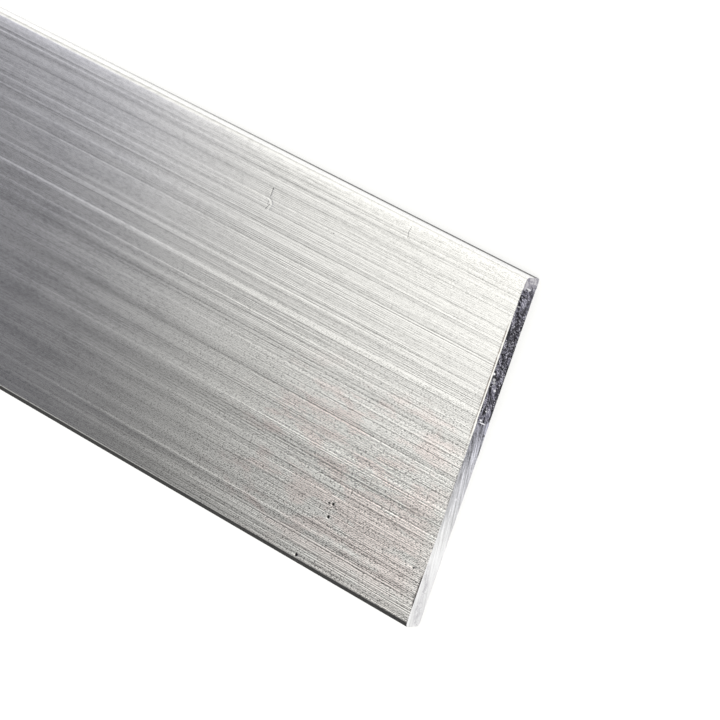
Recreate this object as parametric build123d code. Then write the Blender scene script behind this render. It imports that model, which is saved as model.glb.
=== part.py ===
"""A length of extruded aluminium flat bar, in millimetres.

The bar lies on one broad face. X runs along its length, Y across its width and Z up through its thickness.
The origin is at the middle of the underside. The four long corners are rounded as the extrusion die leaves them,
and both ends are sawn square, so their edges stay sharp.
"""

from build123d import *
import os

# Driving dimensions
BAR_LENGTH = 1000.0
BAR_WIDTH = 50.0
BAR_THICKNESS = 3.0
CORNER_RADIUS = 0.6  # on the four long corners

# Flat that is always left between two corners on a narrow edge, as a share of the thickness
LEAST_EDGE_FLAT = 0.1


def bar_section():
    """The rounded rectangle of the bar, standing on the origin in the YZ plane."""
    largest_radius = (1 - LEAST_EDGE_FLAT) * min(BAR_THICKNESS, BAR_WIDTH) / 2
    radius = min(CORNER_RADIUS, largest_radius)
    centre = Plane.YZ.offset(-BAR_LENGTH / 2) * Pos(0, BAR_THICKNESS / 2)
    return centre * RectangleRounded(BAR_WIDTH, BAR_THICKNESS, radius)


def flat_bar():
    """The section drawn out along X, from one sawn end to the other."""
    return extrude(bar_section(), amount=BAR_LENGTH)


os.makedirs("parts", exist_ok=True)
bar = flat_bar()
export_step(bar, "parts/flat_bar.step")
print("flat_bar", bar.bounding_box(), "volume", round(bar.volume, 1))
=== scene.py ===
"""Looks of a sawn length of extruded aluminium flat bar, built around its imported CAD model.

The bar is one mesh, flat_bar_metal, with the section and length of CAD node flat_bar. Its relief is real
geometry: die lines, saw marks, burrs, a few scratches and pits. What is finer than that is bump and colour.
Sizes are in metres unless a comment says otherwise.
"""

from collections import namedtuple
from functools import reduce
from math import ceil, cos, radians, sin

import bpy
import numpy as np
from mathutils import Matrix, Vector


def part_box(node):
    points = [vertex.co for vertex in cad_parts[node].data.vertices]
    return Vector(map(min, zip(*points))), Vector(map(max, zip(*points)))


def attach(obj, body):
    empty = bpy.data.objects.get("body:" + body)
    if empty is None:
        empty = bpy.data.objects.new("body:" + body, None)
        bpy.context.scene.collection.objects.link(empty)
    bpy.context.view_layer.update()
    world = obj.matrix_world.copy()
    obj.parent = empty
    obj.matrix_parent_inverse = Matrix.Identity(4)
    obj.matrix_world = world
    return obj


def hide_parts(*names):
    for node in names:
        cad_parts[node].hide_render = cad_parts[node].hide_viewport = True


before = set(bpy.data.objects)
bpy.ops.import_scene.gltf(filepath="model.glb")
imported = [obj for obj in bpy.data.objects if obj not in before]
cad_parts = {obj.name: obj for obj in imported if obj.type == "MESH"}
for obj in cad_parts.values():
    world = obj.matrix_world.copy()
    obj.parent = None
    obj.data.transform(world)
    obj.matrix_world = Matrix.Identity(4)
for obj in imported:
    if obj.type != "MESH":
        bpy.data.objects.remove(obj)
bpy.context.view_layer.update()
scene = bpy.context.scene

MM = 0.001
MICRON = 1e-6
LOW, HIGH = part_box("flat_bar")
END = HIGH.x          # the sawn end that shows
FAR_END = LOW.x
SIDE = HIGH.y
TOP = HIGH.z
CORNER_RADIUS = 0.6 * MM

# ---------------- seeded noise for the mesh

KNOTS = 4096          # levels in the noise along a line
CELLS = 512           # levels each way in the noise over a plane


def eased(share):
    return share * share * (3 - 2 * share)


def smoothstep(start, stop, value):
    return eased(np.clip((value - start) / (stop - start), 0, 1))


def bell(value, centre, width):
    return np.exp(-(((value - centre) / width) ** 2))


def wander(position, cell, seed):
    """Smooth noise along one direction, from -1 to 1, with a new level at every cell."""
    levels = np.random.default_rng(seed).uniform(-1, 1, KNOTS)
    spot = np.asarray(position) / cell + KNOTS / 2
    before = np.floor(spot).astype(int)
    share = eased(spot - before)
    return levels[before % KNOTS] * (1 - share) + levels[(before + 1) % KNOTS] * share


def wander_2d(across, along, cell_across, cell_along, seed):
    """Smooth noise over a plane, from -1 to 1, with cells of two sizes."""
    levels = np.random.default_rng(seed).uniform(-1, 1, (CELLS, CELLS))
    u, v = np.asarray(across) / cell_across + CELLS / 2, np.asarray(along) / cell_along + CELLS / 2
    i, j = np.floor(u).astype(int), np.floor(v).astype(int)
    s, t = eased(u - i), eased(v - j)

    def row(j):
        return levels[i % CELLS, j % CELLS] * (1 - s) + levels[(i + 1) % CELLS, j % CELLS] * s

    return row(j) * (1 - t) + row(j + 1) * t


def half_up(noise):
    """Noise from -1 to 1 brought to run from 0 to 1."""
    return 0.5 + 0.5 * noise


# ---------------- die lines along the broad faces

SKIN_DEPTH = 0.03 * MM      # how far the top face lies inside the box, so that burrs stay in it
ROLL_OFF = {1: 0.026 * MM, -1: 0.025 * MM}      # how far a broad face drops before its corners
ROLL_WIDTH = {1: 1.5 * MM, -1: 0.3 * MM}        # and over what width, at +Y and at -Y

# The bands that stand out on the top face, from +Y to -Y: middle and half width in mm, and tilt in degrees.
# A band that tilts towards +Y has a positive tilt and looks bright from the light's side.
TOP_BANDS = [
    (22.0, 0.3, -1.4), (21.1, 0.3, 0.8), (20.3, 0.25, -0.4), (19.5, 0.3, 0.3), (18.6, 0.2, 0.4),
    (17.9, 0.2, 0.3), (17.3, 0.25, -0.6), (16.8, 0.2, 0.5), (16.2, 0.25, -0.5), (15.3, 0.35, -0.7),
    (14.1, 0.3, 0.7), (12.8, 0.35, -0.3), (11.7, 0.4, 0.4), (10.2, 0.7, -0.5), (9.3, 0.2, 0.7),
    (8.8, 0.2, -0.5), (8.2, 0.25, 1.3), (7.6, 0.25, -0.8), (6.6, 0.3, -0.6), (5.75, 0.24, 1.5),
    (5.1, 0.25, -0.5), (4.4, 0.3, -0.5), (3.5, 0.2, 0.2), (3.0, 0.25, -0.4), (2.1, 0.25, 0.3),
    (1.2, 0.5, -0.6), (-0.8, 0.5, 0.6), (-2.1, 1.0, 0.35), (-3.9, 0.5, -0.9), (-6.0, 1.8, 0.5),
    (-6.5, 0.4, -0.8), (-8.1, 0.2, 0.6), (-8.7, 0.4, 0.6), (-10.8, 1.0, -1.1), (-12.1, 0.2, 0.5),
    (-13.2, 0.25, -0.5), (-14.9, 0.8, 0.5), (-17.6, 0.3, 0.9), (-19.8, 0.25, 1.2), (-20.5, 0.35, -1.2),
    (-21.6, 0.3, 0.6), (-23.8, 0.3, -0.6),
]
WAVES = [(3.0 * MM, 0.1), (1.3 * MM, 0.13), (0.5 * MM, 0.15)]    # cell across the width, tilt in degrees
WAVE_GROWTH = 1.2            # how much steeper they are towards +Y, as a share

# The sharpest die lines on the top face, as narrow bands of the same kind: for each half width in mm, the
# middle in mm and the tilt in degrees of every line that has it.
TOP_SCORES = {
    0.08: [(-14.3, -1.4)],
    0.1: [
        (23.6, -1.2), (23.2, 1.6), (23.0, -2.0), (22.1, -0.8), (20.2, -2.0), (18.6, 1.2), (17.4, -1.4),
        (16.9, 1.4), (15.75, 1.5), (15.5, -2.4), (15.1, -1.0), (12.9, -1.2), (12.5, -1.2), (12.25, 2.0),
        (6.3, 1.4), (3.5, 2.0), (3.1, -1.0), (0.9, 1.2), (0.7, -1.2), (-1.0, -1.2), (-2.1, -1.1),
        (-2.7, 1.2), (-3.6, -1.3), (-4.2, 1.6), (-5.1, -1.2), (-5.5, -1.3), (-7.2, 1.2), (-10.5, -1.0),
        (-11.5, 1.4), (-11.7, -1.4), (-14.1, 1.6), (-14.5, 1.5), (-15.8, -1.0), (-16.4, -1.2),
        (-17.3, -1.2), (-17.9, 1.6), (-18.4, 2.8), (-18.6, -3.8), (-19.0, -1.1), (-20.5, 1.6),
        (-20.85, -2.0), (-21.1, 2.6), (-21.35, -1.8), (-21.6, 1.6), (-21.85, -2.0), (-22.2, 2.6),
        (-22.6, -1.2), (-22.9, -3.1), (-23.35, 0.8), (-23.75, -2.2),
    ],
    0.12: [
        (22.6, 3.0), (14.1, 1.6), (9.3, 1.2), (8.85, -0.8), (8.4, 2.0), (7.8, -2.4), (5.2, -0.7),
        (2.2, 2.2), (-0.7, 1.6), (-3.9, -1.5), (-6.4, -1.3), (-8.1, 2.2), (-10.0, -1.7), (-12.15, 2.1),
        (-13.15, -1.7), (-17.5, 1.9), (-20.3, -2.2), (-21.65, 2.2), (-23.1, 3.0), (-24.0, 3.4),
    ],
    0.13: [(-8.7, 2.4)],
    0.14: [(5.85, 3.0), (1.2, -1.8), (-19.8, 2.0)],
}
SCORE_COUNT = 20             # fainter ones, at random
SCORE_WIDTHS = (0.07, 0.12)  # their least and greatest half width in mm
FAINT_TILT = 0.7             # their usual tilt in degrees
SCORE_MARGIN = 0.5 * MM      # how far they stay from the corners


def die_scores(named, seed):
    """Middle and half width in metres and tilt in degrees of each sharp line on a face, named ones first."""
    rng = np.random.default_rng(seed)
    scores = [(y * MM, width * MM, tilt) for width, lines in named.items() for y, tilt in lines]
    for _ in range(SCORE_COUNT):
        place = rng.uniform(-1, 1) * (SIDE - CORNER_RADIUS - SCORE_MARGIN)
        scores.append((place, rng.uniform(*SCORE_WIDTHS) * MM, rng.normal(0, FAINT_TILT)))
    return scores


TOP_MARKS = die_scores(TOP_SCORES, 41)
UNDER_MARKS = die_scores({}, 43)

FINE = np.linspace(-SIDE, SIDE, 5001)      # places across the bar at which tilts are added up
COARSE = FINE[::20]                        # and those at which their slow drift is taken off
DRIFT_WIDTH = 2 * MM


def tilt_heights(across, tilt):
    """Height of a broad face at each place across it, from its tilts in degrees, with no slow drift."""
    height = np.cumsum(-np.tan(np.radians(tilt))) * (FINE[1] - FINE[0])
    drift = np.array([np.average(height, weights=bell(FINE, place, DRIFT_WIDTH)) for place in COARSE])
    return np.interp(across, FINE, height) - np.interp(across, COARSE, drift)


def band_heights(across, seed, bands):
    tilt = sum(amount * wander(FINE, cell, seed + n) for n, (cell, amount) in enumerate(WAVES))
    tilt = tilt * (1 + WAVE_GROWTH * smoothstep(-3 * MM, 18 * MM, FINE))
    tilt = tilt + sum(amount * bell(FINE, centre * MM, width * MM) for centre, width, amount in bands)
    return tilt_heights(across, tilt)


def peak(place, centre, width):
    """1 at the centre, falling straight to 0 at a half width from it."""
    return np.clip(1 - np.abs(place - centre) / width, 0, 1)


def score_heights(across, scores):
    tilt = sum(amount * peak(FINE, centre, width) for centre, width, amount in scores)
    return tilt_heights(across, tilt)


def score_painted_shade(across, scores):
    """How dark each place across the width is painted: painted shade on a line that faces away from the
    light.
    """
    dark = np.zeros_like(across)
    for centre, width, amount in scores:
        dark = np.maximum(dark, np.clip(-amount, 0, 1) * peak(across, centre, width))
    return dark


def roll_off(across):
    """How far a broad face has dropped at each column, from where it starts to turn down to its corner."""
    drop = np.zeros_like(across)
    for side in (1, -1):
        share = (across * side - (SIDE - CORNER_RADIUS - ROLL_WIDTH[side])) / ROLL_WIDTH[side]
        drop += ROLL_OFF[side] * np.clip(share, 0, 1) ** 2
    return drop


SWELL = 0.3                 # how much the die lines swell and fade along the bar, as a share
SWELL_CELLS = (1.5 * MM, 90 * MM)
FADE_BEFORE_CORNER = 0.2 * MM


def line_relief(x, y):
    """Heights of the die lines on the top face and on the underside, for rings at x and columns at y.

    The sharp ones are deepest at the end that was handled, and those near +Y are soft far from it.
    """
    swell = 1 + SWELL * wander_2d(y, x, *SWELL_CELLS, 11)
    flat = SIDE - CORNER_RADIUS
    swell = swell * (1 - smoothstep(flat - FADE_BEFORE_CORNER, flat, np.abs(y)))
    faint = 0.15 + 0.65 * smoothstep(-6 * MM, 12 * MM, y)
    sharp = faint + (1 - faint) * smoothstep(END - 60 * MM, END - 8 * MM, x)
    blurred = 1 - 0.4 * smoothstep(0, 6 * MM, y) * (1 - smoothstep(END - 85 * MM, END - 45 * MM, x))
    top = (band_heights(y, 100, TOP_BANDS) * blurred + score_heights(y, TOP_MARKS) * sharp) * swell
    under = (band_heights(y, 300, []) + score_heights(y, UNDER_MARKS) * sharp) * swell
    return top, under


# ---------------- marks on the top face
# Places are in mm: x back from the sawn end, y from the middle of the width.

PITS = [  # x, y, radius, depth
    (17.4, -15.0, 0.22, 0.025), (18.1, -15.1, 0.18, 0.02), (17.5, -16.9, 0.24, 0.035),
    (1.9, -17.2, 0.14, 0.015), (20.5, -23.9, 0.22, 0.03),
]
SPECKS = [  # dirt with no depth: x, y, radius, and the share of the metal's colour that shows through
    (20.9, -17.2, 0.12, 0.0), (21.0, -19.3, 0.12, 0.0), (7.5, -17.1, 0.13, 0.2), (1.7, -14.6, 0.13, 0.1),
    (31.6, 18.4, 0.13, 0.6), (3.2, -17.3, 0.11, 0.1), (43.6, 20.1, 0.13, 0.5), (18.5, -16.9, 0.1, 0.0),
]
SMUDGES = [(51.5, -16.6, 0.3), (47.9, -16.6, 0.35), (71.8, -17.6, 0.3), (46.6, -13.9, 0.3)]     # pale

# The places that each scratch runs through, its half width and depth, and whether its floor gets a painted
# highlight.
SCRATCHES = [
    ([(43.6, 20.1), (43.65, 19.0)], 0.1, 0.005, False),
    ([(44.5, 18.5), (43.95, 18.7), (43.2, 18.45), (42.95, 17.9), (43.2, 17.4)], 0.13, 0.008, True),
    ([(43.75, 18.3), (43.7, 17.85)], 0.08, 0.003, False),
    ([(43.3, 17.95), (43.85, 17.0)], 0.08, 0.003, False),
    ([(19.9, 22.5), (20.05, 23.3), (19.85, 24.1)], 0.08, 0.005, False),
]

EDGE_RUN = 0.25 * MM        # how far back from the end the saw has shaped its upper edge
EDGE_DROP = 0.026 * MM      # where it rounded that edge over
EDGE_BURR = 0.028 * MM      # where it raised a burr
EDGE_BEAD = 0.008 * MM      # the low bead behind the part that it rounded
EDGE_STEPS = [0.0, 0.06, 0.12, 0.18, 0.24, 0.3, 0.36, 0.43, 0.55]      # mm back from the end


def rubbed_share(across):
    """How much of the end's upper edge is rounded over and rubbed bright, at each place across the width."""
    y = across / MM
    inside = smoothstep(2.0, 4.5, y) * (1 - smoothstep(16.5, 19.0, y))
    return inside * (0.8 + 0.2 * wander(across, 1.1 * MM, 22))


def edge_shape(along, across):
    """Height that the saw added along the end's upper edge, below 0 where it rounded the edge over."""
    back, y = END - along, across / MM
    near = np.clip(1 - back / EDGE_RUN, 0, 1) ** 1.5
    rubbed = rubbed_share(across)
    low_burr = 0.5 * smoothstep(-9.0, -7.0, y) * (1 - smoothstep(-2.0, -0.5, y))
    burr = bell(y, -18.6, 0.9) + bell(y, -21.0, 1.1) + low_burr
    burr = burr * (0.7 + 0.3 * wander(across, 0.7 * MM, 21))
    bead = EDGE_BEAD * rubbed * bell(back, 0.32 * MM, 0.08 * MM)
    return bead + near * (burr * EDGE_BURR - rubbed * EDGE_DROP)


def marks(along, across):
    """Depth of the scratches and pits below the top face."""
    depth = np.zeros(np.broadcast(along, across).shape)
    back, y = (END - along) / MM, across / MM
    for pit_x, pit_y, radius, deep in PITS:
        away = np.hypot(back - pit_x, y - pit_y) / radius
        depth = np.maximum(depth, deep * MM * np.exp(-away ** 4))
    for places, width, deep, _ in SCRATCHES:
        for (x0, y0), (x1, y1) in zip(places, places[1:]):
            run_x, run_y = x1 - x0, y1 - y0
            share = ((back - x0) * run_x + (y - y0) * run_y) / (run_x ** 2 + run_y ** 2)
            share = np.clip(share, 0, 1)
            away = np.hypot(back - x0 - share * run_x, y - y0 - share * run_y)
            depth = np.maximum(depth, deep * MM * bell(away, 0, width))
    return depth


# ---------------- relief of the sawn ends

Cut = namedtuple("Cut", "ring place inward torn seed")
CUTS = [Cut(-1, END, -1, True, 500), Cut(0, FAR_END, 1, False, 700)]

CUT_DEPTH = 0.12 * MM       # the deepest that a cut goes in from the box
SAW_ANGLE = radians(11)     # how far the saw marks climb towards +Y
SAW_LINES = 0.018 * MM
SAW_WAVES = 0.012 * MM
TORN_FROM, TORN_TO = 23.3 * MM, 4.6 * MM     # the torn part of the first cut, across the width
STEP_DEPTH = 0.04 * MM      # how far it lies behind the rest
LUMP_DEPTH = 0.03 * MM
GRIT_DEPTH = 0.02 * MM

# Crumbs of metal that stand out of the torn part: y and z, half width and half height in mm, brightness.
CRUMBS = [
    (23.35, 1.6, 0.11, 0.6, 0.75), (20.9, 2.5, 0.09, 0.4, 0.4), (11.45, 2.75, 0.13, 0.3, 1.0),
    (10.6, 2.3, 0.2, 0.36, 0.5), (10.15, 2.0, 0.17, 0.3, 0.45), (9.05, 1.35, 0.13, 0.33, 0.8),
    (6.1, 1.6, 0.12, 0.25, 0.6), (4.85, 2.15, 0.13, 0.32, 0.85), (4.4, 1.6, 0.08, 0.8, 0.95),
    (-6.5, 1.65, 0.18, 0.3, 0.8), (11.05, 2.75, 0.2, 0.2, 0.02), (5.1, 0.25, 0.2, 0.18, 0.03),
    (2.6, 0.3, 0.14, 0.2, 0.06),
]
CRUMB_LEAN = radians(15)    # the crumbs' long way from upright, towards +Y
CRUMB_RISE = 0.03 * MM

# Flat places of another tone, with the same four sizes: grey clouds near -Y, and shades in the torn part.
CLOUDS = [(-17.2, 2.3, 1.2, 0.5), (-19.2, 1.7, 1.6, 0.6), (-22.6, 1.5, 1.6, 0.8), (-24.5, 0.8, 0.6, 0.7)]
SHADES = [
    (10.2, 1.15, 3.4, 0.16), (8.0, 2.8, 1.4, 0.2), (16.2, 2.7, 1.6, 0.35), (20.6, 2.75, 1.6, 0.25),
    (18.5, 0.4, 1.2, 0.3), (11.5, 0.35, 1.5, 0.25), (17.4, 1.3, 1.7, 0.7), (13.9, 1.2, 1.2, 0.5),
]


def cut_depth(across, up, cut):
    """How far the sawn face lies inside the box at each point."""
    seed = cut.seed
    rise = up * cos(SAW_ANGLE) - across * sin(SAW_ANGLE)
    lines = half_up(0.6 * wander(rise, 0.22 * MM, seed) + 0.4 * wander(rise, 0.5 * MM, seed + 1))
    fade = 0.6 + 0.4 * wander_2d(across, up, 3 * MM, 1 * MM, seed + 2)
    waves = half_up(wander_2d(across, up, 6 * MM, 2 * MM, seed + 3))
    depth = SAW_LINES * lines * fade + SAW_WAVES * waves
    if cut.torn:
        depth = depth + torn_depth(across, up, seed)
    return np.clip(depth, 0, CUT_DEPTH)


def torn_depth(across, up, seed):
    """How much deeper the torn part lies, less where a crumb stands out of it."""
    inside = smoothstep(TORN_TO - 0.12 * MM, TORN_TO + 0.12 * MM, across - 0.2 * (up - TOP / 2))
    inside = inside * (1 - smoothstep(TORN_FROM - 0.3 * MM, TORN_FROM + 0.3 * MM, across))
    lumps = half_up(wander_2d(across, up, 0.45 * MM, 0.35 * MM, seed + 4))
    grit = half_up(wander_2d(across, up, 0.2 * MM, 0.17 * MM, seed + 5))
    depth = inside * (STEP_DEPTH + LUMP_DEPTH * lumps + GRIT_DEPTH * grit)
    for y, z, half_y, half_z, _ in CRUMBS:
        off_y, off_z = across - y * MM, up - z * MM
        wide = (off_y * cos(CRUMB_LEAN) - off_z * sin(CRUMB_LEAN)) / (half_y * MM)
        tall = (off_y * sin(CRUMB_LEAN) + off_z * cos(CRUMB_LEAN)) / (half_z * MM)
        depth = depth - CRUMB_RISE * np.exp(-wide ** 2 - tall ** 2)
    return depth


# ---------------- the bar's mesh

PLAIN_COLUMNS = 120     # across a broad face, between its rounded corners, before those of the scores
LEAST_COLUMN = 0.045 * MM
LEAST_RING = 0.08 * MM
FLAT_ROWS = 12          # up a narrow side, between its rounded corners
ARC_STEPS = 4           # from a corner's middle to each of its ends
STEEP_TILT = 1          # in degrees: a sharp line that is steeper has five columns, and another has three

# Rings in mm back from the end that shows, and from the far end. A pit's are in radii from its middle.
PLAIN_RINGS = [*range(2, 12, 3), *range(12, 130, 10), *range(130, 1000, 80)]
FAR_RINGS = [0.0, 0.4, 3.0]
PIT_RINGS = [-1.6, -1.1, -0.7, -0.2, 0.2, 0.7, 1.1, 1.6]
SCRATCH_STEP = 1.35     # between two rings over a scratch, in its half widths


def thinned(places, gap):
    """The sorted places without those that follow another too closely. Both ends stay."""
    kept = [places[0]]
    for place in places[1:]:
        if place - kept[-1] > gap:
            kept.append(place)
    kept[-1] = places[-1]
    return np.array(kept)


def flat_columns(scores, count=0):
    """Where the columns of a broad face stand, with some on each sharp line, and at least so many in all."""
    half = SIDE - CORNER_RADIUS
    places = list(np.linspace(-half, half, PLAIN_COLUMNS + 1))
    for middle, width, tilt in scores:
        shares = (-1, -0.5, 0, 0.5, 1) if abs(tilt) > STEEP_TILT else (-1, 0, 1)
        places += [middle + share * width for share in shares]
    places = thinned(sorted(place for place in places if abs(place) <= half), LEAST_COLUMN)
    while len(places) < count:
        widest = np.argmax(np.diff(places))
        places = np.insert(places, widest + 1, (places[widest] + places[widest + 1]) / 2)
    return places


def half_corner(last):
    """Points of the upper +Y corner from its middle to this angle, in degrees up from +Y."""
    angle = np.radians(np.linspace(45, last, ARC_STEPS + 1))
    across = SIDE - CORNER_RADIUS + CORNER_RADIUS * np.cos(angle)
    return across, TOP - CORNER_RADIUS + CORNER_RADIUS * np.sin(angle)


def section_lines(flat):
    """The outline's upper row and its right column, as across and height, for a broad face's columns.

    The row runs from -Y to +Y between the middles of two corners, and the column from the bottom to the top.
    """
    arc_y, arc_z = half_corner(90)
    row_y = np.concatenate([-arc_y[:-1], flat, arc_y[-2::-1]])
    row_z = np.concatenate([arc_z[:-1], np.full(len(flat), TOP), arc_z[-2::-1]])
    side_y, side_z = half_corner(0)
    flat_z = np.linspace(CORNER_RADIUS, TOP - CORNER_RADIUS, FLAT_ROWS + 1)
    column_y = np.concatenate([side_y[:-1], np.full(len(flat_z), SIDE), side_y[-2::-1]])
    column_z = np.concatenate([TOP - side_z[:-1], flat_z, side_z[-2::-1]])
    return row_y, row_z, column_y, column_z


def stations():
    """Where the rings stand along the bar: close together at the end that shows and at the marks."""
    backs = []
    for x, _, radius, _ in PITS:
        backs += [x + share * radius for share in PIT_RINGS]
    for places, width, _, _ in SCRATCHES:
        nearest, farthest = min(x for x, _ in places), max(x for x, _ in places)
        count = ceil((farthest - nearest + 4 * width) / (SCRATCH_STEP * width))
        backs += list(np.linspace(nearest - 2 * width, farthest + 2 * width, count + 1))
    backs += PLAIN_RINGS
    between = thinned(sorted(END - back * MM for back in backs), LEAST_RING)
    far_edge = [FAR_END + back * MM for back in FAR_RINGS]
    near_edge = [END - back * MM for back in EDGE_STEPS[::-1]]
    return np.concatenate([far_edge, between, near_edge])


Shape = namedtuple("Shape", "points dark layout columns rows")


def bar_skin():
    """The rings along the bar, with how dark each point is and where it falls in the bake map."""
    count = max(len(flat_columns(scores)) for scores in (TOP_MARKS, UNDER_MARKS))
    row_y, row_z, column_y, column_z = section_lines(flat_columns(TOP_MARKS, count))
    under_y, under_z, _, _ = section_lines(flat_columns(UNDER_MARKS, count))
    columns, rows = len(row_y) - 1, len(column_y) - 1
    along = stations()

    # One ring: across the top from -Y to +Y, down the +Y side, back along the bottom and up the -Y side.
    ring_y = np.concatenate([row_y, column_y[-2:0:-1], under_y[::-1], -column_y[1:-1]])
    ring_z = np.concatenate([row_z, column_z[-2:0:-1], TOP - under_z[::-1], column_z[1:-1]])
    x, y = along[:, None], ring_y[None, :]
    points = np.stack(np.broadcast_arrays(x, y, ring_z[None, :]), -1).copy()

    # The underside stands on its highest lines. Each rounded corner follows the broad face that it meets.
    top_lines, under_lines = line_relief(x, y)
    stand = under_lines.max()
    drop = roll_off(ring_y)
    flat_top, flat_under = ring_z > TOP - MICRON, ring_z < MICRON
    points[:, flat_top, 2] += (top_lines - SKIN_DEPTH - drop)[:, flat_top]
    points[:, flat_under, 2] += (stand + drop - under_lines)[:, flat_under]
    upper_arc = (ring_z > TOP - CORNER_RADIUS) & ~flat_top
    lower_arc = (ring_z < CORNER_RADIUS) & ~flat_under
    upper_share = (ring_z - TOP + CORNER_RADIUS) / CORNER_RADIUS
    lower_share = (CORNER_RADIUS - ring_z) / CORNER_RADIUS
    points[:, upper_arc, 2] -= (upper_share * (SKIN_DEPTH + drop))[upper_arc]
    points[:, lower_arc, 2] += (lower_share * (stand + drop))[lower_arc]

    on_top = slice(0, columns + 1)
    under = slice(columns + rows, 2 * columns + rows + 1)
    points[:, on_top, 2] += edge_shape(x, row_y[None, :]) - marks(x, row_y[None, :])
    points[:, on_top, 2] = np.minimum(points[:, on_top, 2], TOP)
    # Painted shade on the die lines that face away from the light, kept for the skin material.
    dark = np.zeros(points.shape[:2])
    dark[:, on_top] = score_painted_shade(row_y, TOP_MARKS)
    dark[:, under] = score_painted_shade(under_y, UNDER_MARKS)[::-1]
    for cut in CUTS:
        points[cut.ring, :, 0] += cut.inward * cut_depth(ring_y, ring_z, cut)
    return Shape(points, dark, skin_layout(along, ring_y, ring_z), columns, rows)


def ring_sides(ring, columns, rows):
    """A ring's top, right, bottom and left runs, each from -Y to +Y or from the bottom to the top."""
    top = ring[:columns + 1]
    right = ring[columns:columns + rows + 1][::-1]
    bottom = ring[columns + rows:2 * columns + rows + 1][::-1]
    left = np.concatenate([ring[2 * columns + rows:], ring[:1]])
    return top, right, bottom, left


def cap_points(shape, cut):
    """Points inside a sawn end, blended from its outline, then pushed in by the saw."""
    top, right, bottom, left = ring_sides(shape.points[cut.ring], shape.columns, shape.rows)
    u = np.linspace(0, 1, shape.columns + 1)[1:-1, None, None]
    v = np.linspace(0, 1, shape.rows + 1)[None, 1:-1, None]
    grid = (1 - v) * bottom[1:-1, None] + v * top[1:-1, None]
    grid = grid + (1 - u) * left[None, 1:-1] + u * right[None, 1:-1]
    lower_corners = (1 - u) * (1 - v) * bottom[0] + u * (1 - v) * bottom[-1]
    upper_corners = (1 - u) * v * top[0] + u * v * top[-1]
    grid = grid - lower_corners - upper_corners
    grid[:, :, 0] = cut.place + cut.inward * cut_depth(grid[:, :, 1], grid[:, :, 2], cut)
    return grid


# ---------------- the map that an export bakes through

MAP_NAME = "OFBake"
MAP_BACKS = [0, 60 * MM, 200 * MM, 1.0]      # places back from the end that shows
MAP_ALONG = [0.9, 0.5, 0.25, 0.0]            # where each falls, so that this end has most of the map
MAP_WEIGHT = {"top": 1.2, "rest": 1.0}       # share of the map's other way for each mm round the section
CAP_LEFT, CAP_RIGHT = 0.915, 0.985           # the strip that holds the sawn ends, one above the other
CAP_SPANS = [(0.01, 0.485), (0.515, 0.99)]


def skin_layout(along, ring_y, ring_z):
    """Map places of the rings and of the columns, the first column once more at the far side of the map."""
    u = np.interp(END - along, MAP_BACKS, MAP_ALONG)
    closed_y, closed_z = np.append(ring_y, ring_y[0]), np.append(ring_z, ring_z[0])
    length = np.hypot(np.diff(closed_y), np.diff(closed_z))
    middle_z = (closed_z[1:] + closed_z[:-1]) / 2
    weight = np.where(middle_z > TOP / 2, MAP_WEIGHT["top"], MAP_WEIGHT["rest"]) * length
    v = np.append(0, np.cumsum(weight)) / weight.sum()
    return u, v


def cell_corners(u, v):
    """Map places of the four corners of each cell between lines at u and v, in the order of the faces."""
    u0, v0 = np.meshgrid(u[:-1], v[:-1], indexing="ij")
    u1, v1 = np.meshgrid(u[1:], v[1:], indexing="ij")
    corners = [(u0, v0), (u0, v1), (u1, v1), (u1, v0)]
    return np.stack([np.stack(corner, -1) for corner in corners], -2)


def cap_index(shape, outline, first):
    """The vertex at each point of a sawn end's grid: the outline's own round it, new ones inside."""
    columns, rows = shape.columns, shape.rows
    index = np.empty((columns + 1, rows + 1), int)
    index[:, rows], index[columns, :], index[:, 0], index[0, :] = ring_sides(outline, columns, rows)
    index[1:-1, 1:-1] = first + np.arange((columns - 1) * (rows - 1)).reshape(columns - 1, rows - 1)
    return index


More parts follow.
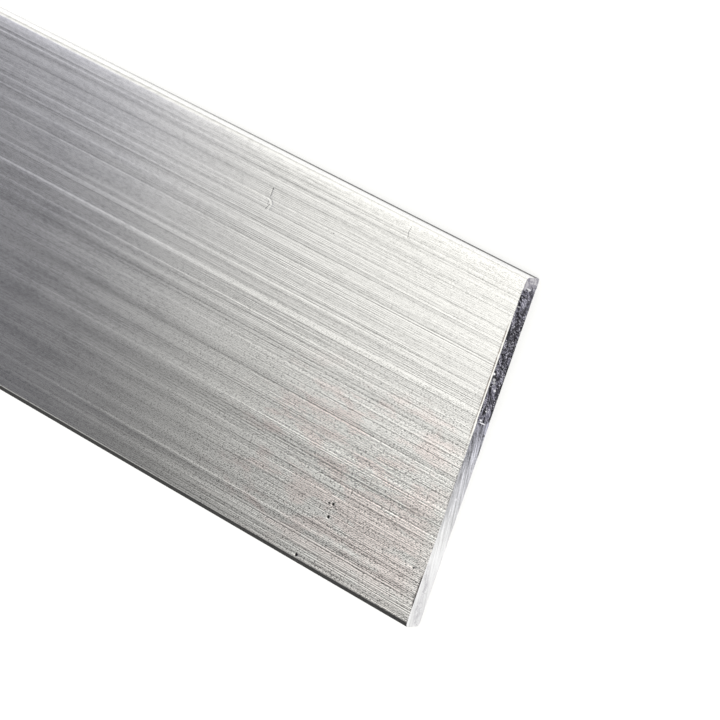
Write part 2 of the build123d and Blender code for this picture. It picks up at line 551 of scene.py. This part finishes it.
def build_bar():
    """The closed mesh, with the painted shade of its die lines, its map, and the material slot index of the
    skin and of each sawn end.
    """
    shape = bar_skin()
    rings, count = shape.points.shape[:2]
    vertices = [shape.points.reshape(-1, 3)]
    ring_index = np.arange(rings * count).reshape(rings, count)
    here, there = ring_index[:-1], ring_index[1:]
    faces = [np.stack([here, np.roll(here, -1, 1), np.roll(there, -1, 1), there], -1).reshape(-1, 4)]
    places = [cell_corners(*shape.layout).reshape(-1, 2)]
    kinds = [np.zeros(len(faces[0]), np.int32)]
    for kind, (cut, span) in enumerate(zip(CUTS, CAP_SPANS), 1):
        index = cap_index(shape, ring_index[cut.ring], sum(len(part) for part in vertices))
        vertices.append(cap_points(shape, cut).reshape(-1, 3))
        quads = np.stack([index[:-1, :-1], index[:-1, 1:], index[1:, 1:], index[1:, :-1]], -1)
        width = np.interp(shape.points[cut.ring, :shape.columns + 1, 1], (-SIDE, SIDE), span)
        height = np.linspace(CAP_LEFT, CAP_RIGHT, shape.rows + 1)
        spots = cell_corners(width, height)[..., ::-1]
        if cut.inward < 0:
            quads, spots = quads[..., ::-1], spots[..., ::-1, :]
        faces.append(quads.reshape(-1, 4))
        places.append(spots.reshape(-1, 2))
        kinds.append(np.full(len(faces[-1]), kind, np.int32))

    mesh = bpy.data.meshes.new("flat_bar_metal")
    mesh.from_pydata(np.concatenate(vertices).tolist(), [], np.concatenate(faces).tolist())
    mesh.update()
    # Painted shade on the die lines that face away from the light.
    line_shade = np.zeros(len(mesh.vertices), np.float32)
    line_shade[:shape.dark.size] = shape.dark.ravel()
    mesh.attributes.new("score_painted_shade", "FLOAT", "POINT").data.foreach_set("value", line_shade)
    map_places = np.concatenate(places).astype(np.float32).ravel()
    mesh.uv_layers.new(name=MAP_NAME).uv.foreach_set("vector", map_places)
    finish_mesh(mesh, np.concatenate(kinds))
    return new_object("flat_bar_metal", mesh)


def new_object(name, data):
    thing = bpy.data.objects.new(name, data)
    scene.collection.objects.link(thing)
    return thing


def finish_mesh(mesh, kinds):
    """Smooth shading with sharp edges round the sawn ends, and a material for each kind of surface."""
    mesh.shade_smooth()
    mesh.polygons.foreach_set("material_index", kinds)
    edge_index = np.empty(len(mesh.loops), np.int32)
    mesh.loops.foreach_get("edge_index", edge_index)
    kind_of_loop = np.repeat(kinds, 4)
    lowest = np.full(len(mesh.edges), len(CUTS))
    highest = np.zeros(len(mesh.edges), int)
    np.minimum.at(lowest, edge_index, kind_of_loop)
    np.maximum.at(highest, edge_index, kind_of_loop)
    mesh.attributes.new("sharp_edge", "BOOLEAN", "EDGE").data.foreach_set("value", lowest != highest)
    mesh.update()


# ---------------- materials

WHITE = (1, 1, 1, 1)


class Tree:
    """Short calls for building a material's nodes."""

    def __init__(self, name, node_tree=None):
        if node_tree is None:
            self.material = bpy.data.materials.new(name)
            self.material.use_nodes = True
            node_tree = self.material.node_tree
        self.nodes = node_tree.nodes
        self.links = node_tree.links
        self.nodes.clear()

    def add(self, kind, inputs=(), **settings):
        node = self.nodes.new("ShaderNode" + kind)
        for key, value in settings.items():
            setattr(node, key, value)
        for key, value in dict(inputs).items():
            if isinstance(value, bpy.types.NodeSocket):
                self.links.new(value, node.inputs[key])
            else:
                node.inputs[key].default_value = value
        return node

    def math(self, operation, a, b=0.0, clamp=False):
        return self.add("Math", {0: a, 1: b}, operation=operation, use_clamp=clamp).outputs[0]

    def mul(self, *values):
        return reduce(lambda a, b: self.math("MULTIPLY", a, b), values)

    def plus(self, *values):
        return reduce(lambda a, b: self.math("ADD", a, b), values)

    def less(self, a, b):
        return self.math("SUBTRACT", a, b)

    def ramp(self, value, low, high, start=0.0, stop=1.0):
        inputs = {0: value, 1: low, 2: high, 3: start, 4: stop}
        return self.add("MapRange", inputs, interpolation_type="SMOOTHSTEP").outputs[0]

    def mix(self, share, a, b, blend="MIX"):
        return self.add("Mix", {0: share, 6: a, 7: b}, data_type="RGBA", blend_type=blend).outputs[2]

    def tint(self, share, colour, by):
        """The colour, multiplied by another where the share is 1."""
        return self.mix(share, colour, self.mix(1.0, colour, by, "MULTIPLY"))

    def shade(self, colour, level):
        """The colour, multiplied by a level at each point."""
        grey = self.add("CombineColor", {0: level, 1: level, 2: level}).outputs[0]
        return self.mix(1.0, colour, grey, "MULTIPLY")

    def place(self):
        return self.add("TexCoord").outputs["Object"]

    def parts(self, vector):
        return self.add("SeparateXYZ", {0: vector}).outputs

    def scaled(self, scale, origin=(0.0, 0.0, 0.0), turn=0.0):
        """Places from an origin, turned about X, in units of the given sizes along X, Y and Z."""
        inputs = {"Vector": self.place(), "Location": origin, "Rotation": (turn, 0, 0), "Scale": scale}
        return self.add("Mapping", inputs, vector_type="TEXTURE").outputs[0]

    def noise(self, cells, detail=2.0, shift=0.0, turn=0.0):
        """Noise from 0 to 1 with cells of the given size along X, Y and Z in mm, turned about X."""
        sizes = [cell * MM for cell in cells]
        origin = [shift * (n + 1) * size for n, size in enumerate(sizes)]
        where = self.scaled(sizes, origin, turn)
        return self.add("TexNoise", {"Vector": where, "Scale": 1.0, "Detail": detail}).outputs["Fac"]

    def noises(self, *tables):
        """The noises of some tables, by name."""
        return {name: self.noise(*values) for table in tables for name, values in table.items()}

    def centred(self, noise, amount):
        """Noise turned into a height or change from -amount / 2 to amount / 2."""
        return self.mul(self.less(noise, 0.5), amount)

    def swings(self, noises, amounts, unit=1.0):
        """Several named noises, each turned into a height or change of its own amount."""
        return [self.centred(noises[name], amount * unit) for name, amount in amounts.items()]

    def spot(self, middle, sizes, turn=0.0, soft=0.25):
        """1 inside a round or long spot and 0 outside it."""
        where = self.scaled(sizes, middle, turn)
        away = self.add("VectorMath", {0: where}, operation="LENGTH").outputs["Value"]
        return self.ramp(away, 1 + soft, 1 - soft)

    def stroke(self, start, stop, half_width):
        """1 along a straight mark between two places and 0 away from it."""
        run = Vector(stop) - Vector(start)
        away = self.add("VectorMath", {0: self.place(), 1: start}, operation="SUBTRACT").outputs[0]
        unit = {0: away, 1: run / run.length_squared}
        share = self.add("VectorMath", unit, operation="DOT_PRODUCT").outputs["Value"]
        share = self.math("ADD", share, 0.0, clamp=True)
        nearest = self.add("VectorMath", {0: run, "Scale": share}, operation="SCALE").outputs[0]
        gap = self.add("VectorMath", {0: away, 1: nearest}, operation="DISTANCE").outputs["Value"]
        return self.ramp(gap, 1.2 * half_width, 0.4 * half_width)

    def surface(self, shader):
        self.links.new(shader.outputs[0], self.add("OutputMaterial").inputs[0])
        return self.material

    def metal(self, height, **inputs):
        """A principled surface with these inputs, and with this height as its bump."""
        bump = self.add("Bump", {"Height": height, "Strength": 1.0, "Distance": 1.0})
        named = {name.replace("_", " "): value for name, value in inputs.items()}
        return self.surface(self.add("BsdfPrincipled", {**named, "Normal": bump.outputs[0]}))


class BarTree(Tree):
    """The nodes of one of the bar's materials. Its ramps run between two places in mm."""

    def __init__(self, name):
        super().__init__(name)
        self.along, self.across, self.up = self.parts(self.place())

    def back(self, first, last, start=0.0, stop=1.0):
        """A ramp along the bar, measured back from the sawn end that shows."""
        return self.ramp(self.along, END - first * MM, END - last * MM, start, stop)

    def over(self, first, last, start=0.0, stop=1.0):
        """A ramp across the width, measured from its middle."""
        return self.ramp(self.across, first * MM, last * MM, start, stop)

    def rise(self, first, last, start=0.0, stop=1.0):
        """A ramp up the bar's thickness."""
        return self.ramp(self.up, first * MM, last * MM, start, stop)


# The skin's noises: cells along X, Y and Z in mm, detail, and shift of the origin in cells.
SKIN_NOISES = {
    "lines": ((70, 0.22, 0.22), 2.0, 0.0),
    "fine": ((45, 0.15, 0.15), 1.0, 3.1),
    "dashes": ((3, 0.13, 0.13), 1.0, 4.6),
    "grain": ((0.3, 0.11, 0.11), 0.0, 7.7),
    "bands": ((180, 2.2, 2.2), 3.0, 1.3),
    "blotch": ((9, 1.6, 3), 3.0, 5.5),
    "mist": ((0.9, 0.35, 0.35), 2.0, 6.6),
    "patches": ((5, 1.7, 1.7), 2.0, 9.1),
    "breaks": ((1000, 1.3, 1000), 2.0, 2.7),
}

# How far each noise swings: as height in microns, as tone where the skin is plain or worn, and as roughness.
SKIN_BUMPS = {"lines": 7.0, "fine": 22.0, "dashes": 8.0}
PLAIN_SWINGS = {"bands": 0.24, "blotch": 0.28, "mist": 0.65}
WORN_SWINGS = {"fine": 1.5, "dashes": 1.4, "lines": 0.8}
ROUGH_SWINGS = {"bands": 0.06, "fine": 0.05, "blotch": 0.05}
GRAIN_SWING = 4.0
SKIN_TONE = 0.93             # share of the bright metal in the skin's colour
WORN_LIFT = 0.1
SCORE_PAINTED_SHADE = 0.35           # how much darker the painted shade makes a line that faces away from the light
SKIN_ROUGHNESS = 0.125
SKIN_ANISOTROPY = 0.3

METAL_DARK = (0.27, 0.27, 0.27, 1)
METAL_BRIGHT = (1.0, 0.995, 1.0, 1)
WARM_TINT = (1.0, 0.935, 0.93, 1)
DULL_TINT = (0.85, 0.85, 0.86, 1)
EDGE_PAINTED_SHADE = (0.3, 0.24, 0.2, 1)
BURR_DIRT = (0.2, 0.17, 0.16, 1)
SPECK_AND_PIT_BLACK = (0.03, 0.03, 0.03, 1)
# The next two are painted: shade low on the narrow sides, and a dark reflection on the upper -Y corner.
SIDE_PAINTED_SHADE = (0.16, 0.16, 0.17, 1)
CORNER_PAINTED_REFLECTION = (0.02, 0.02, 0.022, 1)
SCRATCH_DARK = (0.3, 0.3, 0.3, 1)


def skin_tone(t, noises, worn):
    """The metal's colour: bands and mist all over, lines and grain near the end that was handled, and
    painted shade on the die lines that face away from the light.
    """
    # Painted shade on the die lines that face away from the light.
    line_shade = t.mul(t.add("Attribute", attribute_name="score_painted_shade").outputs["Fac"], -SCORE_PAINTED_SHADE)
    bite = t.mul(worn, t.over(18, -20, 0.6, 1.15), t.over(-16, -22, 1.0, 1.6))
    gritty = t.mul(t.back(72, 5, 0.12, 1.0), t.over(14, -10, 0.22, 1.0))
    gritty = t.mul(gritty, t.over(-12, -20, 1.0, 1.35), t.back(25, 12, 1.0, 1.15))
    level = t.mul(t.back(35, 5), t.over(16, -6, -0.03, 0.05))
    worn_lines = t.plus(*t.swings(noises, WORN_SWINGS), WORN_LIFT)
    tone = t.plus(SKIN_TONE, level, *t.swings(noises, PLAIN_SWINGS), t.mul(worn_lines, bite),
                  t.mul(t.centred(noises["grain"], GRAIN_SWING), gritty), t.mul(line_shade, worn))
    return t.mix(t.math("ADD", tone, 0, clamp=True), METAL_DARK, METAL_BRIGHT)


def warm_stain(t, noises, colour):
    """A faint warm stain in patches, towards the lower half of the end that was handled."""
    reach = t.mul(t.back(47, 3), t.over(10, -17))
    inner = t.mul(t.back(0.5, 3.5, 0.35, 1.0), t.over(-24, -20, 0.3, 1.0))
    patches = t.ramp(t.plus(noises["patches"], t.mul(reach, 0.245)), 0.54, 0.74)
    return t.tint(t.mul(patches, t.ramp(reach, 0.0, 0.25), inner), colour, WARM_TINT)


def end_edge(t, noises, colour):
    """The rubbed edge of the end, white as rubbed metal and painted highlight, the brown painted shade
    behind it, and the dirt on its burr.
    """
    rubbed = t.mul(t.over(-2, 4.5), t.over(19.2, 18))
    # White on the rubbed edge: partly rubbed metal, partly painted highlight.
    colour = t.mix(t.mul(rubbed, t.back(0.26, 0.2)), colour, WHITE)
    # Painted shade behind the rubbed edge.
    behind = t.mul(t.back(0.52, 0.38), t.back(0.22, 0.3))
    broken = t.ramp(noises["breaks"], 0.4, 0.55, 0.3, 0.8)
    colour = t.mix(t.mul(rubbed, behind, broken), colour, EDGE_PAINTED_SHADE)
    burred = t.mul(t.over(-16.5, -18), t.over(-22.3, -21.3), broken)
    return t.mix(t.mul(burred, t.back(0.4, 0.15)), colour, BURR_DIRT)


def top_place(x, y):
    """A place on the top face, from one in mm back from the sawn end and across the width."""
    return (END - x * MM, y * MM, TOP)


def named_marks(t, colour):
    """The smudges, scratches, pits and specks of the top face."""
    for x, y, radius in SMUDGES:
        smudge = t.spot(top_place(x, y), [radius * MM] * 3, soft=0.6)
        colour = t.mix(t.mul(smudge, 0.6), colour, WHITE)
    for places, width, _, bright in SCRATCHES:
        for start, stop in zip(places, places[1:]):
            line = t.stroke(top_place(*start), top_place(*stop), width * MM)
            # A bright scratch gets a painted highlight: white along its floor.
            colour = t.mix(t.mul(line, 0.75), colour, WHITE if bright else SCRATCH_DARK)
    # Pits are painted black, like the specks.
    dark_pits = [(x, y, radius, 0.0) for x, y, radius, _ in PITS]
    for x, y, radius, shown in dark_pits + SPECKS:
        spot = t.mul(t.spot(top_place(x, y), [radius * MM] * 3), 1 - shown)
        colour = t.mix(spot, colour, SPECK_AND_PIT_BLACK)
    return colour


def skin_material():
    """The die-drawn skin: a bright satin metal with lines along X, finer than the mesh holds."""
    t = BarTree("mill_aluminium")
    noises = t.noises(SKIN_NOISES)

    # The end that shows was handled most, and a longer stretch of it towards +Y.
    upper = t.over(-4, 6)
    handled = t.plus(t.mul(t.back(55, 8, 0.12, 1.0), t.less(1.0, upper)),
                     t.mul(t.back(64, 30, 0.12, 1.0), upper))
    worn = t.mul(handled, t.over(20, -14, 0.55, 1.0))
    height = t.mul(t.plus(*t.swings(noises, SKIN_BUMPS, MICRON)), worn)

    colour = skin_tone(t, noises, worn)
    colour = warm_stain(t, noises, colour)
    colour = end_edge(t, noises, colour)
    colour = named_marks(t, colour)
    dull = t.mul(t.over(23.8, 24.4), t.rise(2.6, 2.8), t.back(20, 60))     # the +Y corner, away from the end
    colour = t.tint(dull, colour, DULL_TINT)

    # Painted shade in the lower half of the narrow sides, for the dark line where the bar meets the floor,
    # and a painted dark reflection on the upper -Y corner.
    aside = t.ramp(t.math("ABSOLUTE", t.across), 24.0 * MM, 24.6 * MM)
    low_side_shade = t.mul(aside, t.rise(1.5, 1.1), t.back(105, 25, 0.1, 0.9))
    corner_reflection = t.mul(t.over(-24.12, -24.38), t.rise(2.2, 2.4), 0.97)
    painted_dark = t.math("MAXIMUM", low_side_shade, corner_reflection)
    colour = t.mix(painted_dark, colour, t.mix(corner_reflection, SIDE_PAINTED_SHADE, CORNER_PAINTED_REFLECTION))
    rough = t.plus(SKIN_ROUGHNESS, *t.swings(noises, ROUGH_SWINGS), t.mul(painted_dark, 0.6))
    tangent = t.add("CombineXYZ", {0: 1.0, 1: 0.0, 2: 0.0}).outputs[0]
    return t.metal(height, Base_Color=colour, Metallic=t.less(1.0, painted_dark), Roughness=rough,
                   Anisotropic=SKIN_ANISOTROPY, Specular_IOR_Level=t.less(0.5, t.mul(painted_dark, 0.5)),
                   Tangent=tangent)


# The noises of both sawn ends: cells along X, Y and Z in mm, detail, shift and turn.
SAWN_NOISES = {
    "sweeps": ((1000, 7, 0.42), 3.0, 0.0, SAW_ANGLE),
    "streaks": ((1000, 2.5, 0.2), 2.0, 3.7, SAW_ANGLE),
    "specks": ((1000, 0.14, 0.28), 1.0, 2.2, -2 * CRUMB_LEAN),
    "smear": ((1000, 1.3, 0.7), 3.0, 4.4, SAW_ANGLE),
}
TORN_NOISES = {
    "mottle": ((1000, 0.26, 0.7), 1.0, 6.3, -2 * CRUMB_LEAN),
    "clumps": ((1000, 1.6, 0.7), 1.0, 8.8, SAW_ANGLE),
    "drawn": ((1000, 1.5, 0.22), 2.0, 8.3, SAW_ANGLE),
    "blots": ((1000, 0.3, 0.45), 2.0, 1.9, -2 * CRUMB_LEAN),
}
SAWN_BUMPS = {"sweeps": 8, "streaks": 6, "specks": 8}                  # in microns
CLEAN_SWINGS = {"sweeps": 3.6, "streaks": 2.6, "specks": 1.0}          # in tone
FAR_SWINGS = {"sweeps": 0.9, "streaks": 0.6, "specks": 0.4}
SAWN_ROUGHNESS = 0.38
SMEAR_SWING = 0.2

# Tones across the width, partly the cut's own tone and partly painted shade, which darkens the end that
# shows towards +Y: y in mm, grey, and how blue it is.
CLEAN_TONES = [
    (-25, 0.76, 1.02), (-21, 0.82, 1.02), (-15, 0.86, 1.02), (-11.5, 0.72, 1.02),
    (-7, 0.6, 1.05), (-3, 0.56, 1.07), (0, 0.49, 1.11), (4, 0.27, 1.18),
]
TORN_TONES = [
    (4.5, 0.62, 1), (8, 0.55, 1), (11.5, 0.42, 1), (14.5, 0.46, 1),
    (17, 0.15, 1), (20, 0.5, 1), (22, 0.5, 1), (23.5, 0.62, 1),
]
FAR_TONES = [(-25, 0.62, 1.02), (0, 0.76, 1.01), (25, 0.6, 1.02)]

CLOUD_GREY = (0.54, 0.53, 0.56, 1)
TORN_BLACK = (0.008, 0.007, 0.016, 1)
TORN_LILAC = (0.36, 0.35, 0.45, 1)
TORN_HAZE = (0.24, 0.232, 0.28, 1)
SHADE_DARK = (0.02, 0.018, 0.028, 1)
FLECK_BRIGHT = (0.68, 0.67, 0.76, 1)
CAP_DARK = (0.33, 0.32, 0.37, 1)
CAP_LIGHT = (0.6, 0.59, 0.62, 1)
CAP_TOP_TINT = (0.82, 0.81, 0.83, 1)


def sawn_tones(t, tones):
    """A colour across the width, from a list of tones."""
    ramp = t.add("ValToRGB", {0: t.plus(t.mul(t.across, 0.5 / SIDE), 0.5)})
    stops = ramp.color_ramp.elements
    while len(stops) < len(tones):
        stops.new(0.5)
    for stop, (y, grey, blue) in zip(stops, tones):
        stop.position = 0.5 + 0.5 * y * MM / SIDE
        stop.color = (grey, grey, grey * blue, 1)
    return ramp.outputs[0]


def end_spot(t, y, z, half_y, half_z, turn, soft=0.25):
    """1 inside a long spot on the sawn end, given in mm, and 0 outside it."""
    return t.spot((END, y * MM, z * MM), (1, half_y * MM, half_z * MM), turn, soft)


def sawn_finish(t, noises, colour):
    height = t.plus(*t.swings(noises, SAWN_BUMPS, MICRON))
    rough = t.plus(SAWN_ROUGHNESS, t.centred(noises["smear"], SMEAR_SWING))
    return t.metal(height, Base_Color=colour, Metallic=1.0, Roughness=rough)


def clean_cut(t, noises):
    """Streaked by the saw, most in the middle of the width, with a few grey clouds near -Y."""
    strength = t.mul(t.over(-16, -8, 0.3, 1.0), t.over(-6, 3, 0.5, 1.5))
    streaked = t.plus(1.0, t.mul(t.plus(*t.swings(noises, CLEAN_SWINGS)), strength))
    colour = t.shade(sawn_tones(t, CLEAN_TONES), streaked)
    for cloud in CLOUDS:
        frayed = t.plus(t.mul(noises["smear"], 0.5), t.mul(noises["specks"], 0.5))
        share = t.mul(end_spot(t, *cloud, SAW_ANGLE, soft=0.7), t.ramp(frayed, 0.42, 0.58, 0.1, 0.9))
        colour = t.mix(share, colour, CLOUD_GREY)
    return colour


def torn_metal(t, noises):
    """Black and lilac grey in turn: in crisp spots near +Y, and drawn out by the saw nearer the middle."""
    clumps = noises["clumps"]
    crisp = t.over(6, 12)
    grainy = t.plus(t.mul(noises["mottle"], crisp), t.mul(noises["drawn"], t.less(1.0, crisp)))
    share = t.plus(t.mul(grainy, 0.7), t.mul(clumps, 0.3))
    # The torn part's black is partly its own and partly painted shade.
    colour = t.mix(t.ramp(share, 0.45, 0.58), TORN_BLACK, TORN_LILAC)
    colour = t.mix(1.0, colour, sawn_tones(t, TORN_TONES), "MULTIPLY")
    haze = t.mul(t.over(18, 21), t.rise(1.9, 0.6), t.ramp(clumps, 0.4, 0.6, 0.2, 0.7))
    colour = t.mix(haze, colour, TORN_HAZE)
    for shade in SHADES:
        share = t.mul(end_spot(t, *shade, SAW_ANGLE, soft=0.6), t.ramp(grainy, 0.6, 0.45, 0.3, 0.9))
        colour = t.mix(share, colour, SHADE_DARK)
    flecks = t.ramp(t.plus(t.mul(noises["specks"], 0.75), t.mul(clumps, 0.25)), 0.56, 0.63)
    return t.mix(t.mul(flecks, 0.8), colour, FLECK_BRIGHT)


def cut_cap(t, noises):
    """The blotted grey metal between the torn part and the +Y side, darker towards the top."""
    colour = t.mix(t.ramp(noises["blots"], 0.4, 0.58), CAP_DARK, CAP_LIGHT)
    top_tint = t.mix(t.ramp(t.up, 0.8 * MM, TOP), WHITE, CAP_TOP_TINT)
    return t.mix(1.0, colour, top_tint, "MULTIPLY")


def sawn_end_material():
    """The end that shows: torn and dark near +Y, then streaked, then clearing to bright metal at -Y. Its
    darkening towards +Y is partly painted shade.
    """
    t = BarTree("sawn_end")
    noises = t.noises(SAWN_NOISES, TORN_NOISES)
    cap_share = t.ramp(t.across, TORN_TO + 5 * MM, TORN_TO + 6 * MM)
    colour = t.mix(cap_share, clean_cut(t, noises), cut_cap(t, noises))
    edge = t.plus(t.across, t.centred(noises["smear"], 3 * MM), t.centred(noises["specks"], 2 * MM))
    torn = t.mul(t.ramp(edge, TORN_TO - 0.25 * MM, TORN_TO + 0.25 * MM),
                 t.ramp(edge, TORN_FROM + 0.2 * MM, TORN_FROM - 0.1 * MM))
    colour = t.mix(torn, colour, torn_metal(t, noises))
    for y, z, half_y, half_z, bright in CRUMBS:
        crumb = end_spot(t, y, z, half_y, half_z, -CRUMB_LEAN)
        colour = t.mix(crumb, colour, (bright, bright, min(1.0, bright * 1.05), 1))
    return sawn_finish(t, noises, colour)


def sawn_far_end_material():
    """The other sawn end: even, with the same streaks and no torn part."""
    t = BarTree("sawn_far_end")
    noises = t.noises(SAWN_NOISES)
    streaked = t.plus(1.0, *t.swings(noises, FAR_SWINGS))
    return sawn_finish(t, noises, t.shade(sawn_tones(t, FAR_TONES), streaked))


# ---------------- studio

STUDIO_LIGHT = 1.14
STUDIO_TINT = (1.0, 0.993, 0.937, 1)
FLOOR_SIZE = 60
FLOOR_DROP = 0.01 * MM
FLOOR_GREY = (0.45, 0.45, 0.45, 1)
FLOOR_GLOW = 0.65            # what brings the floor to white where the camera or a reflection sees it

# A large dark card over the bar, seen only in reflections. Its near edge fades to the studio's white.
FLAG_HEIGHT = 0.6
FLAG_MIDDLE = 0.431          # how far the middle of its fade lies from the bar's end, as seen from above
FLAG_FADE = 0.25
FLAG_DIRECTION = radians(51.5 + 180)
FLAG_SIZE = 8.0
FLAG_MIDTONE = (0.555, 0.552, 0.526, 1)
FLAG_DARK = (0.127, 0.1265, 0.1205, 1)
FLAG_FAR = (0.42, 0.42, 0.42, 1)
FAR_FROM, FAR_TO = 0.9, 3.5              # where that far tone starts and is full, from the card's near edge

# Changes of the card's tone: the first two run back from the bar's end, the last runs towards +Y.
FLAG_COOL = (0.88, 0.885, 1.0, 1)
COOL_FROM, COOL_TO = 0.485, 0.585
FLAG_LIFT = 1.6
LIFT_FROM, LIFT_TO = 0.58, 0.66
DIM_FROM, DIM_TO = 0.33, 0.45

# How bright reflections find the studio, against its light, and the parts of a direction between which it
# grades to that: on the side that faces the camera, towards +Y, and low down towards +Y.
CAMERA_SIDE, CAMERA_SIDE_EAST = 0.5, (-0.38, 0.1)
FAR_SIDE, FAR_SIDE_NORTH = 0.7, (0.62, 0.95)
LOW_SIDE, LOW_SIDE_NORTH, LOW_SIDE_UP = 0.76, (0.46, 0.54), (0.59, 0.53)


def floor_material():
    """White for the camera and in reflections, and still darker where the bar shades it."""
    t = Tree("floor_white")
    path = t.add("LightPath").outputs
    seen = t.math("MAXIMUM", path["Is Camera Ray"], path["Is Glossy Ray"])
    seen = t.math("MAXIMUM", seen, path["Is Transmission Ray"])
    white = t.add("BsdfDiffuse", {"Color": FLOOR_GREY})
    glow = t.add("Emission", {"Color": WHITE, "Strength": t.mul(seen, FLOOR_GLOW)})
    return t.surface(t.add("AddShader", {0: white.outputs[0], 1: glow.outputs[0]}))


def flag_material():
    """Dark grey, grading up to the studio's white along the edge that comes first in the reflections."""
    t = Tree("flag_graded")
    near_edge = -FLAG_SIZE / 2
    outward = t.parts(t.place())[0]
    darkness = t.ramp(outward, near_edge, near_edge + FLAG_FADE)
    upper = t.mix(t.ramp(darkness, 0.0, 0.5), STUDIO_TINT, FLAG_MIDTONE)
    tone = t.mix(t.ramp(darkness, 0.5, 1.0), upper, FLAG_DARK)
    tone = t.mix(t.ramp(outward, near_edge + FAR_FROM, near_edge + FAR_TO), tone, FLAG_FAR)
    along, across, _ = t.parts(t.add("NewGeometry").outputs["Position"])
    tone = t.tint(t.ramp(along, END - COOL_FROM, END - COOL_TO), tone, FLAG_COOL)
    lift = t.ramp(along, END - LIFT_FROM, END - LIFT_TO, 0.0, FLAG_LIFT - 1)
    lift = t.mul(lift, t.ramp(darkness, 0.3, 0.6))
    level = t.mul(t.plus(1.0, lift), t.ramp(across, DIM_FROM, DIM_TO, 1.0, LOW_SIDE))
    return t.surface(t.add("Emission", {"Color": tone, "Strength": t.mul(level, STUDIO_LIGHT)}))


def plane(name, size, material):
    half = size / 2
    corners = [(-half, -half, 0), (half, -half, 0), (half, half, 0), (-half, half, 0)]
    mesh = bpy.data.meshes.new(name)
    mesh.from_pydata(corners, [], [(0, 1, 2, 3)])
    mesh.materials.append(material)
    sheet = new_object(name, mesh)
    return sheet


def studio_world():
    """An even light on the object and the floor, which in reflections grades down on some sides."""
    world = bpy.data.worlds.new("studio")
    world.use_nodes = True
    t = Tree("studio_world", world.node_tree)
    path = t.add("LightPath").outputs
    east, north, high = t.parts(t.add("TexCoord").outputs["Generated"])
    low = t.mul(t.ramp(north, *LOW_SIDE_NORTH), t.ramp(high, *LOW_SIDE_UP))
    far = t.ramp(north, *FAR_SIDE_NORTH, 1.0, FAR_SIDE)
    far = t.math("MINIMUM", far, t.ramp(low, 0.0, 1.0, 1.0, LOW_SIDE))
    level = t.mul(t.ramp(east, *CAMERA_SIDE_EAST, 1.0, CAMERA_SIDE), far)
    graded = t.plus(1.0, t.mul(path["Is Glossy Ray"], t.less(level, 1.0)))
    light = t.add("Background", {"Color": STUDIO_TINT, "Strength": t.mul(graded, STUDIO_LIGHT)})
    t.links.new(light.outputs[0], t.add("OutputWorld").inputs[0])
    return world


def build_studio():
    floor = plane("floor", FLOOR_SIZE, floor_material())
    floor.location.z = -FLOOR_DROP
    flag = plane("flag", FLAG_SIZE, flag_material())
    out = FLAG_MIDDLE - FLAG_FADE / 2 + FLAG_SIZE / 2
    flag.location = (END + out * cos(FLAG_DIRECTION), out * sin(FLAG_DIRECTION), FLAG_HEIGHT)
    flag.rotation_euler = (0, 0, FLAG_DIRECTION)
    flag.visible_camera = False
    flag.visible_diffuse = False
    flag.visible_shadow = False
    scene.world = studio_world()


# ---------------- camera

LOOK_AT = Vector((END - 20.82 * MM, 4.56 * MM, TOP))
AZIMUTH, ELEVATION, ROLL = radians(113.14), radians(52.57), radians(-90)
DISTANCE = 531.76 * MM
LENS, SENSOR = 199.44, 36      # in mm
CLIP_START = 0.01


def build_camera():
    camera = new_object("camera", bpy.data.cameras.new("camera"))
    level = cos(ELEVATION)
    back = Vector((sin(AZIMUTH) * level, -cos(AZIMUTH) * level, sin(ELEVATION)))
    turned = back.to_track_quat("Z", "Y").to_matrix() @ Matrix.Rotation(ROLL, 3, "Z")
    camera.matrix_world = Matrix.Translation(LOOK_AT + back * DISTANCE) @ turned.to_4x4()
    camera.data.lens = LENS
    camera.data.sensor_width = SENSOR
    camera.data.clip_start = CLIP_START
    scene.camera = camera


bar = build_bar()
for material in (skin_material(), sawn_end_material(), sawn_far_end_material()):
    bar.data.materials.append(material)
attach(bar, "root")
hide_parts("flat_bar")
build_studio()
build_camera()

scene.view_settings.view_transform = "Standard"
bpy.context.view_layer.update()
